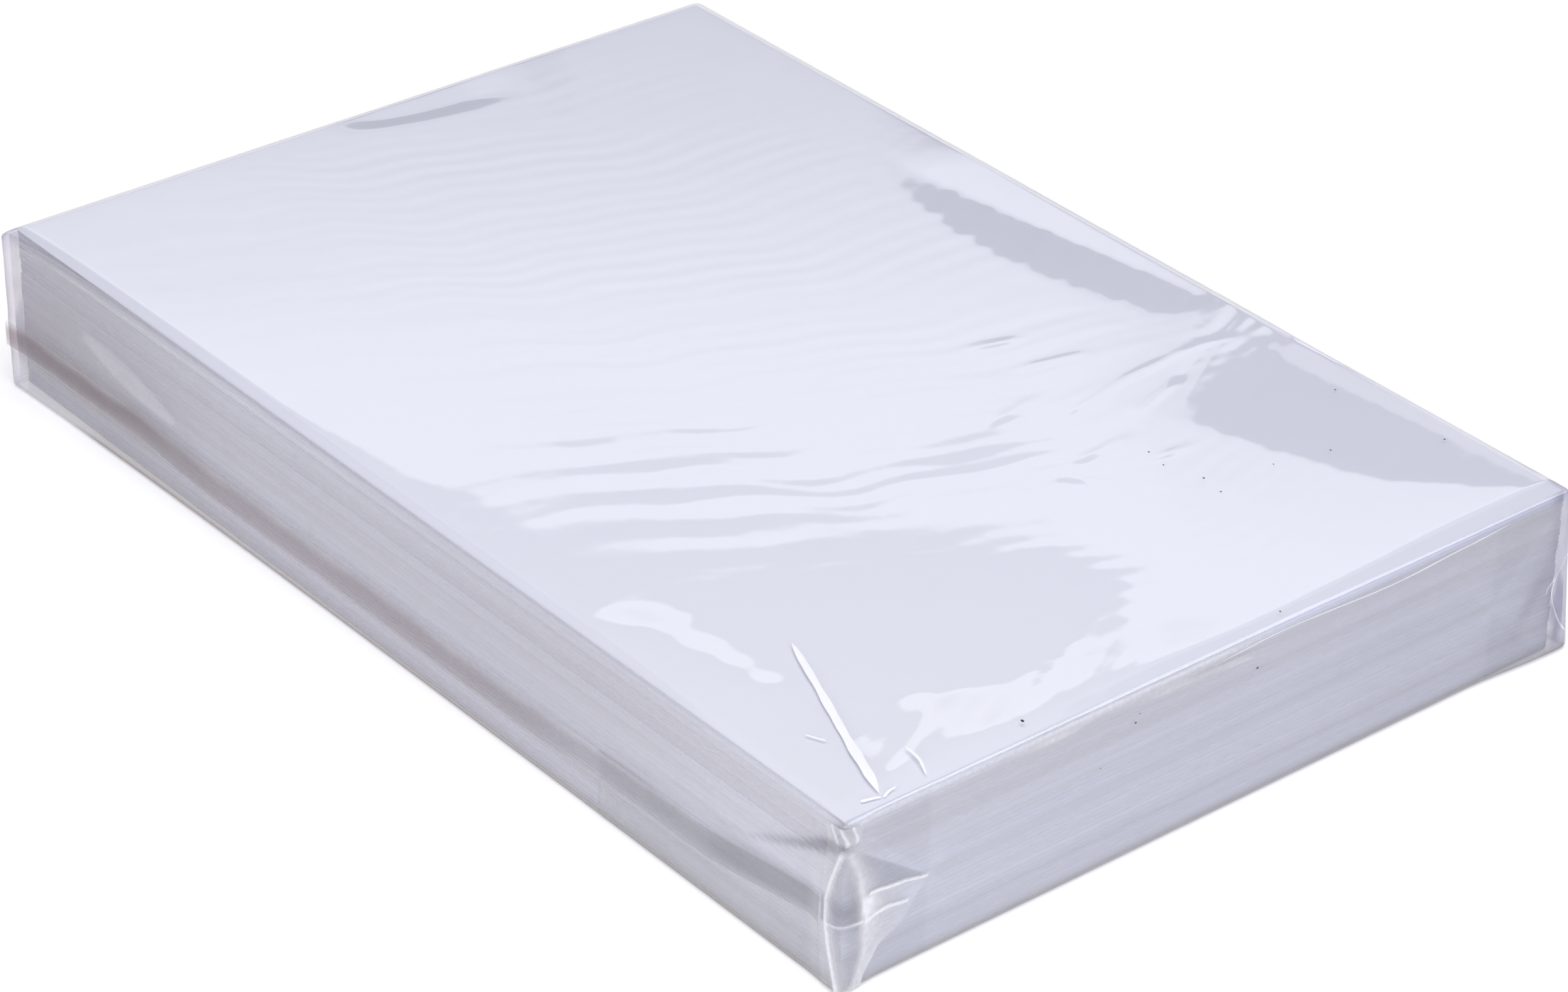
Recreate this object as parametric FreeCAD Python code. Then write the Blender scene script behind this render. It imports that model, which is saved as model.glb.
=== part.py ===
"""A pack of photo paper: a knocked-up stack of loose sheets in one folded sheet of clear film.

X runs along the long side, Y along the short side and Z up. The origin is under the middle
of the pack, on the surface that it lies on. All sizes are in millimetres.

The film is a tube round the long side, closed by a lap seam on the front face (-Y). Each end
is closed like a parcel: the side walls are tucked in first, then the top flap comes down and
the bottom flap goes up over it. The folds at the sides of the flaps run at 45 degrees.
"""
import FreeCAD, Part
import math
import os

# ---- the sheets
sheet_length = 152.0
sheet_width = 102.0
sheet_thickness = 0.205
sheet_count = 100
bundle_sheets = 9        # sheets that stayed together when the stack was knocked up
bundle_shift = 0.11      # largest offset of a bundle
sheet_shift = 0.05       # largest offset of a sheet in its bundle

# ---- the film
film_thickness = 0.05
top_clearance = 0.12     # free space between the top sheet and the film
fold_radius = 0.22       # inside radius where the film turns over an edge
front_gap_near = 0.10    # how far the front wall stands off the sheets, past the fold radius
front_gap_middle = 0.35
front_gap_far = 1.70
back_gap_top = 0.30      # the same for the back wall, which spreads towards its foot
back_gap_foot = 2.30

# ---- the lap seam on the front wall
lap_width = 4.0
lap_height = 4.3         # from the base to the seam's lower edge
lap_rise = 3.2           # how far the seam is pulled up at the near corner
lap_rise_length = 30.0

# ---- the spare layer under the front wall's near end
patch_length = 39.0
patch_height = 8.4

# ---- the folds that close each end
tuck_depth = 11.0
top_flap_depth = 12.6
bottom_flap_depth = 12.4

# ---- worked out from the sizes above
stack_height = sheet_count * sheet_thickness
knock = bundle_shift + sheet_shift
side_gap = knock + fold_radius                           # keeps the sheets clear of the folds
inside_height = stack_height + top_clearance
pack_height = inside_height + 2 * film_thickness
inside_x = sheet_length / 2 + side_gap                   # inner face of the end walls
spare_y = (front_gap_far - back_gap_foot) / 2            # the pack, not the stack, is centred
front_y = spare_y - sheet_width / 2 - side_gap           # inner faces with no gap
back_y = spare_y + sheet_width / 2 + side_gap
front_gaps = {-1: front_gap_far, 1: front_gap_near}      # by end: -1 is far, 1 is near


def spread(index, step):
    """A repeatable uneven value from -1 to 1, another for each index."""
    return 2 * math.modf(index * step)[0] - 1


def paper_stack():
    """All the sheets as one solid, each a little off its neighbours."""
    sheets = []
    for index in range(sheet_count):
        bundle = index // bundle_sheets + 1
        shift_x = bundle_shift * spread(bundle, 0.618) + sheet_shift * spread(index, 0.382)
        shift_y = bundle_shift * spread(bundle, 0.755) + sheet_shift * spread(index, 0.569)
        corner = FreeCAD.Vector(
            shift_x - sheet_length / 2,
            spare_y + shift_y - sheet_width / 2,
            film_thickness + index * sheet_thickness,
        )
        sheets.append(Part.makeBox(sheet_length, sheet_width, sheet_thickness, corner))
    return sheets[0].multiFuse(sheets[1:]).removeSplitter().Solids[0]


def rounded_body(layers):
    """The pack's form with rounded edges, that many film layers outside the film's inside."""
    grow = layers * film_thickness
    low = film_thickness - grow
    high = film_thickness + inside_height + grow
    x = inside_x + grow
    back_foot = back_y + back_gap_foot + grow
    back_top = back_y + back_gap_top + grow
    front_right = FreeCAD.Vector(x, front_y - front_gap_near - grow, low)
    front_middle = FreeCAD.Vector(0, front_y - front_gap_middle - grow, low)
    front_left = FreeCAD.Vector(-x, front_y - front_gap_far - grow, low)
    plan = Part.Wire([
        Part.makeLine(FreeCAD.Vector(-x, back_foot, low), FreeCAD.Vector(x, back_foot, low)),
        Part.makeLine(FreeCAD.Vector(x, back_foot, low), front_right),
        Part.Arc(front_right, front_middle, front_left).toShape(),
        Part.makeLine(front_left, FreeCAD.Vector(-x, back_foot, low)),
    ])
    upright = Part.Face(plan).extrude(FreeCAD.Vector(0, 0, high - low))
    behind = prism(
        [
            FreeCAD.Vector(-2 * x, back_foot, low),
            FreeCAD.Vector(-2 * x, back_foot, high),
            FreeCAD.Vector(-2 * x, back_top, high),
        ],
        FreeCAD.Vector(4 * x, 0, 0),
    )
    block = upright.cut(behind)
    return block.makeFillet(fold_radius + grow, block.Edges)


def box_between(x, y, z):
    """A box from three (low, high) pairs."""
    corner = FreeCAD.Vector(x[0], y[0], z[0])
    return Part.makeBox(x[1] - x[0], y[1] - y[0], z[1] - z[0], corner)


def prism(points, direction):
    """A solid swept from a closed outline of straight sides."""
    return Part.Face(Part.makePolygon(points + points[:1])).extrude(direction)


def end_window(side):
    """The opening between the two side tucks of one end, closed later by the flaps."""
    margin = fold_radius + film_thickness
    y = (front_y - front_gaps[side] + tuck_depth, back_y - tuck_depth)
    z = (film_thickness + margin, pack_height - film_thickness - margin)
    x = sorted((side * (inside_x - margin), side * (inside_x + 2 * margin)))
    return box_between(x, y, z)


def flap(side, from_top, depth, layer):
    """One end flap: it turns over the end's edge and narrows at 45 degrees to its free edge."""
    inner = fold_radius
    outer = fold_radius + film_thickness
    face = inside_x + layer * film_thickness             # inner face of this flap
    centre_x = face - inner
    centre_z = film_thickness + inner
    slant = math.sqrt(0.5)
    profile = Part.Wire([
        Part.makeLine(FreeCAD.Vector(centre_x, 0, 0), FreeCAD.Vector(centre_x, 0, film_thickness)),
        Part.Arc(
            FreeCAD.Vector(centre_x, 0, film_thickness),
            FreeCAD.Vector(centre_x + inner * slant, 0, centre_z - inner * slant),
            FreeCAD.Vector(face, 0, centre_z),
        ).toShape(),
        Part.makeLine(FreeCAD.Vector(face, 0, centre_z), FreeCAD.Vector(face, 0, depth)),
        Part.makeLine(
            FreeCAD.Vector(face, 0, depth), FreeCAD.Vector(face + film_thickness, 0, depth)
        ),
        Part.makeLine(
            FreeCAD.Vector(face + film_thickness, 0, depth),
            FreeCAD.Vector(face + film_thickness, 0, centre_z),
        ),
        Part.Arc(
            FreeCAD.Vector(face + film_thickness, 0, centre_z),
            FreeCAD.Vector(centre_x + outer * slant, 0, centre_z - outer * slant),
            FreeCAD.Vector(centre_x, 0, 0),
        ).toShape(),
    ])
    back_gap = back_gap_top if from_top else back_gap_foot
    low_y = front_y - front_gaps[side] + fold_radius
    high_y = back_y + back_gap - fold_radius
    sheet = Part.Face(profile).extrude(FreeCAD.Vector(0, high_y - low_y, 0))
    sheet.translate(FreeCAD.Vector(0, low_y, 0))
    trim = prism(
        [
            FreeCAD.Vector(centre_x, low_y, 0),
            FreeCAD.Vector(centre_x, low_y + depth, depth),
            FreeCAD.Vector(centre_x, high_y - depth, depth),
            FreeCAD.Vector(centre_x, high_y, 0),
        ],
        FreeCAD.Vector(2 * outer, 0, 0),
    )
    shape = sheet.common(trim)
    if from_top:
        shape = shape.mirror(FreeCAD.Vector(0, 0, pack_height / 2), FreeCAD.Vector(0, 0, 1))
    if side < 0:
        shape = shape.mirror(FreeCAD.Vector(0, 0, 0), FreeCAD.Vector(1, 0, 0))
    return shape


def seam_edge(height):
    """One edge of the lap seam from the far end to the near one: level, then pulled up."""
    reach = inside_x + 2 * film_thickness
    bend = reach - lap_rise_length
    radius = (lap_rise_length ** 2 + lap_rise ** 2) / (2 * lap_rise)
    half = lap_rise_length / 2
    middle = radius - math.sqrt(radius ** 2 - half ** 2)
    start = FreeCAD.Vector(-reach, 0, height)
    turn = FreeCAD.Vector(bend, 0, height)
    halfway = FreeCAD.Vector(bend + half, 0, height + middle)
    end = FreeCAD.Vector(reach, 0, height + lap_rise)
    return Part.makeLine(start, turn), Part.Arc(turn, halfway, end).toShape(), start, end


def lap_seam(inside):
    """The strip of the front wall where one edge of the film lies over the other."""
    low_line, low_arc, low_start, low_end = seam_edge(lap_height)
    high_line, high_arc, high_start, high_end = seam_edge(lap_height + lap_width)
    near_side = Part.makeLine(low_end, high_end)
    far_side = Part.makeLine(high_start, low_start)
    outline = Part.Wire([low_line, low_arc, near_side, high_arc, high_line, far_side])
    strip = Part.Face(outline).extrude(FreeCAD.Vector(0, -sheet_width, 0))
    return rounded_body(2).common(strip).cut(inside)


def front_patch(inside):
    """The spare layer at the near end of the front wall."""
    edge = fold_radius + film_thickness
    window = box_between(
        (inside_x - patch_length, inside_x - edge),
        (-sheet_width, 0),
        (edge, patch_height),
    )
    return rounded_body(3).common(window).cut(inside)


def film_wrap():
    """The whole wrapping, one folded sheet of film, as one solid."""
    inside = rounded_body(0)
    wall = rounded_body(1).cut(inside)
    for side in (-1, 1):
        wall = wall.cut(end_window(side))
    layers = [lap_seam(inside), front_patch(inside)]
    for side in (-1, 1):
        layers.append(flap(side, True, top_flap_depth, 1))
        layers.append(flap(side, False, bottom_flap_depth, 2))
    return wall.multiFuse(layers).removeSplitter().Solids[0]


def save(name, shape):
    """Write one piece to its own file."""
    shape.exportStep(f"parts/{name}.step")
    box = shape.BoundBox
    print(name, shape.ShapeType, len(shape.Solids), "faces", len(shape.Faces),
          "valid", shape.isValid(), "volume", round(shape.Volume, 2))
    print("  x", round(box.XMin, 3), round(box.XMax, 3), "y", round(box.YMin, 3),
          round(box.YMax, 3), "z", round(box.ZMin, 3), round(box.ZMax, 3))


os.makedirs("parts", exist_ok=True)
save("paper_stack", paper_stack())
save("film_wrap", film_wrap())
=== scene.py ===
"""A pack of photo paper in clear film: the looks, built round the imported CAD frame.

The sheets are the CAD's own solid with a paper material. The film is modelled here as a thin
skin with its ripples and dents, its lap seam, its spare layer, its parcel folds and the
whitened creases at its corners, and these pieces stand for film_wrap.
Lengths are in millimetres, measured from the middle of the stack and from the table, until a
mesh is made. MM turns them into Blender's metres. Only the lamps' places and sizes and the
scales of the materials' noise are written in metres.
"""
import math

import bpy
import numpy as np
from mathutils import Matrix, Vector


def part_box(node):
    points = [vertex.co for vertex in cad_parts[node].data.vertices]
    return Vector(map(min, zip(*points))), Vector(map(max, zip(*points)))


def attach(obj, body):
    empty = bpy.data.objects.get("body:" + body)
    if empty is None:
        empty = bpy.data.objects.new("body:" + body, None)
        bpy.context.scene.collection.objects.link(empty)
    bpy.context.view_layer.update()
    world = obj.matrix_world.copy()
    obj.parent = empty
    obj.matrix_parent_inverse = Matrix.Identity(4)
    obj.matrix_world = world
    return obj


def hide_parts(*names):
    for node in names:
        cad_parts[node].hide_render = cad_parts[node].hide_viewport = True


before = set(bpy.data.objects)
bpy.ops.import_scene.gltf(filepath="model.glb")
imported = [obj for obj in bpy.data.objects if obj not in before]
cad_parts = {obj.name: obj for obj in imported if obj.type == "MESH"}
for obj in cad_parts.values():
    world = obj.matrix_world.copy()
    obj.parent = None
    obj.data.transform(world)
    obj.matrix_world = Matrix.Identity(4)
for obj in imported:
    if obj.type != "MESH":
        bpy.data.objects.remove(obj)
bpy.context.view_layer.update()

MM = 0.001

# ---- sizes taken from the frame
stack_low, stack_high = (np.array(corner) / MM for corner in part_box("paper_stack"))
MIDDLE = (stack_low + stack_high) / 2 * (1, 1, 0)
SIDE_GAP = 0.32               # film to sheets at the sides
TOP_GAP = 0.08
HALF_LENGTH = (stack_high[0] - stack_low[0]) / 2 + SIDE_GAP
HALF_WIDTH = (stack_high[1] - stack_low[1]) / 2 + SIDE_GAP
TOP = stack_high[2] + TOP_GAP
EDGE_RADIUS = 0.45            # where the film turns over an edge
CORNER_RADIUS = 0.70          # upright corners, seen from above
FILM = 0.05                   # thickness of one layer
DOME = 0.54                   # how far the top of the film stands over its edges
LAMP_LEVEL = 6.25             # the brightest that the film mirrors, where white is 1
SPARE_LENGTH = 39.0           # the spare layer's length, up to the near corner
BESIDE_TUCK = 2.9             # where the sheets of the front wall end before the near corner
SEAT = 0.03                   # a sheet of film laid on the skin, to the skin
RIM_STEP = 0.02               # the very narrow first and last step of such a sheet's mesh
STUDIO_TURN = math.radians(50)   # from +X to the line along which the studio is laid out
STUDIO_RIGHT = (math.cos(STUDIO_TURN), math.sin(STUDIO_TURN), 0.0)


# ---- smooth functions
def bell(value, width):
    """1 at zero, falling off smoothly on both sides."""
    return np.exp(-(value / width) ** 2)


def smooth(start, end, value):
    """0 at the start and before it, 1 at the end and past it, in either direction."""
    t = np.clip((value - start) / (end - start), 0, 1)
    return t * t * (3 - 2 * t)


def fade(distance, reach):
    """1 at an edge and falling away from it."""
    return np.exp(-np.clip(distance, 0, None) / reach)


def ramp(value, rounding):
    """0 below zero, the value itself above it, rounded between the two."""
    return rounding * np.logaddexp(0, value / rounding)


def wander(value, seed, *periods):
    """A slow uneven wave from about -1 to 1, the same on each run."""
    total = 0
    for count, period in enumerate(periods):
        total = total + np.sin(2 * np.pi * value / period + seed * (count + 1.7))
    return total / len(periods)


def line_places(x, y, start, end):
    """Distances along a line from its start and across it, and the line's length."""
    dx, dy = end[0] - start[0], end[1] - start[1]
    length = math.hypot(dx, dy)
    along = ((x - start[0]) * dx + (y - start[1]) * dy) / length
    across = ((y - start[1]) * dx - (x - start[0]) * dy) / length
    return along, across, length


# ---- the film's top
def taper(distance, width):
    """0 at an edge, rising evenly to 1 at the width, with a short rounding there."""
    return 1 - ramp(1 - distance / width, 0.06) / ramp(1.0, 0.06)


def between(value, start, end, rounding):
    """Rises evenly from 0 at the start up to the end's distance, and stays there."""
    return ramp(value - start, rounding) - ramp(value - end, rounding)


def unevenness(x, y, seed, period):
    """A shallow random-looking swell made of waves in several directions, from -1 to 1."""
    total = 0
    for count in range(6):
        turn = 2.4 * count + seed
        length = period * (1 + 0.13 * count)
        total = total + np.sin(2 * np.pi * (x * math.cos(turn) + y * math.sin(turn)) / length
                               + 3.1 * turn)
    return total / 6


def back_slopes(x, from_back, jag):
    """Two places by the back edge where the film slopes down, and the edge's own slope.

    Each slopes from its reach, measured from the edge, and turns level or back at its step.
    """
    first = smooth(-29, -16, x) * smooth(24.5, 20, x) * (1 - 0.33 * smooth(-5, 20, x))
    first_reach = np.clip(15.0 - 0.0085 * (x + 4) ** 2, 0.3, None)
    first_step = np.clip(5.6 - 0.15 * x, 3.0, 9)
    second = smooth(25, 42, x - 0.35 * (from_back - 12) + 1.6 * jag)
    second_reach = np.minimum(23.8 - 0.39 * (x - 42), 15.6 - 1.03 * (x - 62.4))
    second_step = 4.8 - 0.08 * (x - 33)
    drop = 0.030 * first * (ramp(first_reach - from_back + 1.2 * jag, 0.3)
                            - 1.8 * ramp(first_step - from_back + 0.4 * jag, 0.2))
    drop = drop + 0.017 * second * ramp(second_reach - from_back + jag, 0.3)
    drop = drop + 0.050 * smooth(30, 37, x) * ramp(second_step - from_back, 0.4)
    return drop + 0.05 * fade(from_back, 1.6) * smooth(22, 34, x)


def front_slope(x, from_front, jag):
    """The strip along the front edge where the film slopes down, with a jagged inner edge."""
    width = 1.2 + 2.6 * smooth(-30, -2, x) + 3.6 * smooth(-2, 9, x) + 1.5 * smooth(12, 40, x)
    slope = 0.005 + 0.045 * smooth(22, -64, x)
    return slope * ramp(width - from_front + 1.2 * jag * bell(x - 7, 9), 0.3)


def left_dent(x, y):
    """A long narrow dent beside the left edge."""
    along, across, length = line_places(x, y, (-73.6, -8.0), (-68.6, 17.0))
    across = across + 0.9 * bell(along - length / 2, 9)
    ends = smooth(-1, 7, along) * smooth(length + 2, length - 7, along)
    return 0.16 * smooth(-1.9, 1.9, across) * ends


def right_lip(x, y, jag):
    """Beside the near part of the right edge the film rises a little before it turns down."""
    inner = 66.0 - 2.8 * bell(y + 33, 5) + 1.6 * bell(y + 22, 6) - 5 * smooth(-16, 0, y)
    inner = inner + 5 * smooth(-43, -48, y) + 1.2 * jag
    slope = 0.038 * smooth(6, -20, y)
    dip = 0.26 * smooth(36, 66, x) * smooth(24, -40, y)
    return slope * between(x, inner, HALF_LENGTH - 3.2, 0.25) - dip


# Short straight wrinkles that fan out from the back right-hand corner: both ends and the height.
STREAKS = [
    ((13.8, 18.7), (16.0, 25.6), 0.030), ((20.9, 20.7), (22.9, 29.5), 0.030),
    ((28.4, 9.9), (26.8, 17.6), 0.030), ((31.9, 18.2), (30.0, 29.0), 0.044),
    ((30.0, 28.0), (29.0, 38.7), 0.040), ((29.0, 37.0), (29.8, 45.0), 0.034),
    ((36.6, 23.5), (33.5, 33.0), 0.044), ((40.1, 12.8), (39.2, 20.3), 0.040),
    ((44.7, 18.8), (44.8, 24.0), 0.050), ((41.6, 8.8), (44.3, 11.0), 0.030),
]


def swells(x, y):
    """Broad bumps and dents, and the short wrinkles."""
    along, across, length = line_places(x, y, (34.0, -47.0), (55.0, -43.8))
    island = 0.180 * bell(across + 0.2 * wander(x, 2.0, 9, 5), 3.4)
    island = island * smooth(-3, 4, along) * smooth(26, 19, along)
    bay = 0.07 * bell(x - 52, 7) * bell(y + 5, 9) - 0.10 * bell(x - 35, 5) * bell(y - 1, 7.5)
    corner = 0.05 * smooth(-40, -62, x) * bell(y + 40, 14)
    wrinkles = 0
    for start, end, height in STREAKS:
        along, across, length = line_places(x, y, start, end)
        ends = smooth(-1.5, 2.5, along) * smooth(length + 1.5, length - 2.5, along)
        wrinkles = wrinkles + height * bell(across, 0.65) * ends
    return island + bay + wrinkles - corner


def ripples(x, y, lively):
    """Fine tension lines that fan out towards the back right-hand corner."""
    # distance across the crests, which bend, spread and wander
    bend = 0.51 * y - 0.005 * np.clip(y + 12.8, 0, None) ** 2
    crest = (x - 30) * (1 + 0.012 * np.clip(y - 4, 0, None) * smooth(0, 20, x)) - bend
    crest = crest + 0.9 * wander(y, 1.0, 31, 17) + 0.6 * wander(x, 2.0, 23, 41)
    # broad waves in two regions, fine ones all over, and a faint mottle
    strong = bell(x - 14, 26) * bell(y + 25, 13)
    fan = bell(x - 25, 11) * bell(y - 24, 13)
    uneven = 0.6 + 0.4 * wander(x + 0.4 * y, 3.0, 37, 53)
    broad = 0.017 * strong * uneven + 0.012 * fan + 0.0015
    broad = broad * np.sin(2 * np.pi * crest / 7.4 + 0.5)
    fine = 0.0048 - 0.0038 * smooth(-10, -35, y)
    fine = fine * (0.6 + 0.4 * wander(x - 0.6 * y, 5.0, 19, 29))
    fine = fine * np.sin(2 * np.pi * crest / 3.3 + 1 + 2 * wander(y, 4.0, 27, 15))
    mottle = 0.0045 * unevenness(x, y, 1.0, 7.0) + 0.0022 * unevenness(x, y, 4.0, 3.4)
    mottle = mottle * (0.35 + 0.65 * bell(x - 52, 30) * bell(y + 4, 40))
    return (broad + fine + mottle) * lively


def top_relief(x, y):
    """Height of the film over its edges, on the top face."""
    from_left, from_right = x + HALF_LENGTH, HALF_LENGTH - x
    from_front, from_back = y + HALF_WIDTH, HALF_WIDTH - y
    jag = 0.5 * wander(x + 0.5 * y, 2.0, 5.2, 3.1, 8.3)
    lively = smooth(0, 9, from_front) * smooth(0, 3, from_back)
    lively = lively * smooth(0, 15, from_left) * smooth(0, 12, from_right)
    calm = smooth(31, 37, x) * smooth(27, 21, from_back)
    calm = calm + 0.8 * smooth(30, 26, x) * smooth(17, 13, from_back)
    height = DOME + swells(x, y) + right_lip(x, y, jag)
    height = height - front_slope(x, from_front, jag) - left_dent(x, y)
    height = height - back_slopes(x, from_back, jag) + ripples(x, y, lively * (1 - 0.85 * calm))
    margin = 2.0 - 0.6 * bell(y - 7, 14) + smooth(-18, -34, y) + 0.5 * smooth(20, 38, y)
    edges = taper(from_front, 1.4) * taper(from_back, 1.2)
    edges = edges * taper(from_left, 1.2) * taper(from_right, margin)
    return height * edges


# ---- the film's walls
def column(z):
    """How far the bunched film at the near corner has opened: pinched near its top."""
    return smooth(17.3, 12.0, z) + 0.35 * bell(z - 19.6, 1.0)


def corner_swell(from_corner, z):
    """The walls stand off beside the near corner, and the corner itself is well rounded."""
    stand_off = 0.50 * smooth(5.0, 2.0, from_corner)
    rounding = 0.30 * np.clip(1 - from_corner / 1.8, 0, 1) ** 2
    return (stand_off - rounding) * column(z) * (0.3 + 0.7 * smooth(0, 7, z))


def lap_low(x):
    """Lower edge of the lap seam, which is pulled up at both ends."""
    raised = 1.1 * smooth(-34, -52, x) + 0.5 * smooth(-58, -HALF_LENGTH, x)
    return 4.05 + raised + 0.95 * smooth(22, 46, x) + 3.1 * smooth(52, 80, x)


def lap_high(x):
    """Upper edge of the lap seam."""
    return lap_low(x) + 3.8 - 0.5 * smooth(-34, -52, x) - 0.5 * smooth(60, HALF_LENGTH, x)


def front_fold(x, z):
    """The dented crease that runs to the pinch and widens on its way: 1 at its deepest."""
    middle = np.interp(x, [46, 54.3, 58.3, 62.3, 67, 70.8, 73.9, 76.5],
                       [11.2, 11.0, 10.7, 11.4, 13.5, 15.2, 16.8, 18.1])
    half = np.interp(x, [46, 58, 62, 70, 76], [0.15, 0.25, 0.12, 0.45, 0.85])
    depth = np.interp(x, [44, 50, 60, 66, 74], [0, 0.25, 0.35, 0.7, 1])
    return depth * smooth(half + 0.35, half - 0.2, np.abs(z - middle))


def front_out(x, z):
    """How far the front wall stands outside its tight line."""
    up = z / TOP
    top = 0.1 + 1.9 * fade(x + HALF_LENGTH, 7)
    foot = 0.15 + 1.5 * fade(x + HALF_LENGTH, 35)
    out = top * up + foot * (1 - up) + corner_swell(HALF_LENGTH - x, z)
    low, high = lap_low(x), lap_high(x)
    seam = 0.08 * smooth(low - 0.8, low + 0.2, z) * smooth(1.5, -0.5, z - high)
    waves = 0.03 * wander(x + 1.5 * z, 3.0, 47, 29) + 0.012 * wander(z + 0.05 * x, 5.0, 5.3, 8.7)
    waves = waves * smooth(0, 3, z) * smooth(TOP, TOP - 3, z)
    return out + seam + waves - 0.08 * front_fold(x, z)


def back_out(x, z):
    """The same for the back wall, which spreads towards its foot."""
    up = z / TOP
    return 0.25 * up + (1.7 + 0.4 * smooth(-HALF_LENGTH, HALF_LENGTH, x)) * (1 - up)


def end_out(side, y, z):
    """The same for an end wall, at the near (1) or the far end (-1)."""
    waves = 0.05 * wander(y + 1.2 * z, 2.0 + side, 41, 23)
    waves = waves * smooth(0, 4, z) * smooth(TOP, TOP - 4, z)
    rim = 0.10 * bell(z - TOP + 1.6, 1.4) * (0.5 + 0.5 * wander(y, 4.0, 19, 11, 31))
    out = 0.06 + waves + rim
    if side > 0:
        out = out + corner_swell(y + HALF_WIDTH, z)
        out = out + 0.8 * (1 - z / TOP) * smooth(14, 0, HALF_WIDTH - y)
    return out


def shape_film(points):
    """Move the plain skin's points to where the real, slightly loose film lies."""
    x, y, z = points.T
    moved = points.copy()
    inward = 5.0
    moved[:, 1] -= front_out(x, z) * np.clip(1 - (y + HALF_WIDTH) / inward, 0, 1) ** 2
    moved[:, 1] += back_out(x, z) * np.clip(1 - (HALF_WIDTH - y) / inward, 0, 1) ** 2
    moved[:, 0] += end_out(1, y, z) * np.clip(1 - (HALF_LENGTH - x) / inward, 0, 1) ** 2
    moved[:, 0] -= end_out(-1, y, z) * np.clip(1 - (x + HALF_LENGTH) / inward, 0, 1) ** 2
    moved[:, 2] += top_relief(x, y) * smooth(TOP - 2 * EDGE_RADIUS, TOP, z)
    return moved


# ---- tint and haze of the film
# Each piece of film carries a tint and a haze on its points. Tint is the colour let through, and in
# places a painted shade; haze is the share of the film that is whitened or crumpled, and in places
# a painted highlight.
# The grey smoke tint is both the colour of stacked film and a painted shade; the shade, cool and
# violet tints are painted shade.
LAVENDER = np.array([0.945, 0.935, 0.985])
SMOKE_AND_SHADE = np.array([0.84, 0.84, 0.85])
SHADE = np.array([0.80, 0.775, 0.76])
COOL_SHADE = np.array([0.79, 0.79, 0.825])
VIOLET_SHADE = np.array([0.77, 0.76, 0.82])


def tinted(amount, colour):
    """White going over to a colour."""
    return 1 - np.asarray(amount)[..., None] * (1 - colour)


def on_walls(x, y):
    """1 on a wall and 0 off it, for the front, the back, the near end and the far end."""
    return (smooth(0.6, 0.2, y + HALF_WIDTH), smooth(0.6, 0.2, HALF_WIDTH - y),
            smooth(0.6, 0.2, HALF_LENGTH - x), smooth(0.6, 0.2, x + HALF_LENGTH))


def skin_tint_and_shade(x, y, z):
    """Tint of the outer skin, with painted shade in many places."""
    on_front, on_back, on_near, on_far = on_walls(x, y)
    # film that stands off the sheets at two of the upright corners: pale lavender at the left one,
    # and a painted shade at the right one
    left_ear = on_front * smooth(3.5, 2.0, x + HALF_LENGTH) + on_far * smooth(4, 2, y + HALF_WIDTH)
    right_ear = on_back * smooth(4, 2, HALF_LENGTH - x) + on_near * smooth(3, 1.5, HALF_WIDTH - y)
    blotches = 0.5 + 0.5 * wander(z + 2 * x, 6.0, 4.3, 2.9, 7.7)
    tint = tinted(left_ear * (0.6 + 0.6 * blotches), LAVENDER)
    tint = tint * tinted(right_ear * (0.9 + 0.3 * blotches), VIOLET_SHADE)
    # painted shade in the dented crease on the front wall
    tint = tint * tinted(2.3 * on_front * front_fold(x, z), SMOKE_AND_SHADE)
    rim = np.maximum(smooth(1.3, 0.6, HALF_WIDTH - y), smooth(1.3, 0.6, x + HALF_LENGTH))
    tint = tint * tinted(rim * smooth(TOP - 3, TOP - 1, z), np.array([0.93, 0.925, 0.97]))
    # painted shade: the far end of the top is a little darker; the near corner is a little warmer
    away = np.clip(STUDIO_RIGHT[0] * y - STUDIO_RIGHT[1] * x, 0, None)
    away = away * smooth(TOP - 0.6, TOP - 0.2, z)
    tint = tint * tinted(0.0030 * away, np.array([0.84, 0.84, 0.88]))
    near_corner = bell(np.hypot(x - HALF_LENGTH, y + HALF_WIDTH), 45)
    tint = tint * tinted(0.3 * near_corner, np.array([1.0, 1.0, 0.94]))
    # painted shade: the walls are darkened most at the far left and the far right, and along their
    # feet
    middle = smooth(72, 30, x) * smooth(2.0, 5, z) * (0.36 - 0.20 * smooth(14.5, 17, z))
    middle = middle + 0.16 * smooth(18.8, 19.8, z)
    left = 0.48 * smooth(-25, -72, x) * (0.6 + 0.4 * smooth(1.5, 5, z))
    tint = tint * tinted(on_front * (middle + left), SHADE)
    right = 0.03 + 0.10 * smooth(5, 30, y) + 0.22 * smooth(34, 50, y) + 0.14 * smooth(6, 2.5, z)
    tint = tint * tinted(on_near * right, COOL_SHADE)
    foot = bell(z - 0.2, 0.4) * (2.4 * on_front * smooth(-66, -56, x) + 1.6 * on_near)
    return tint * tinted(foot, SHADE)


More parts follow.
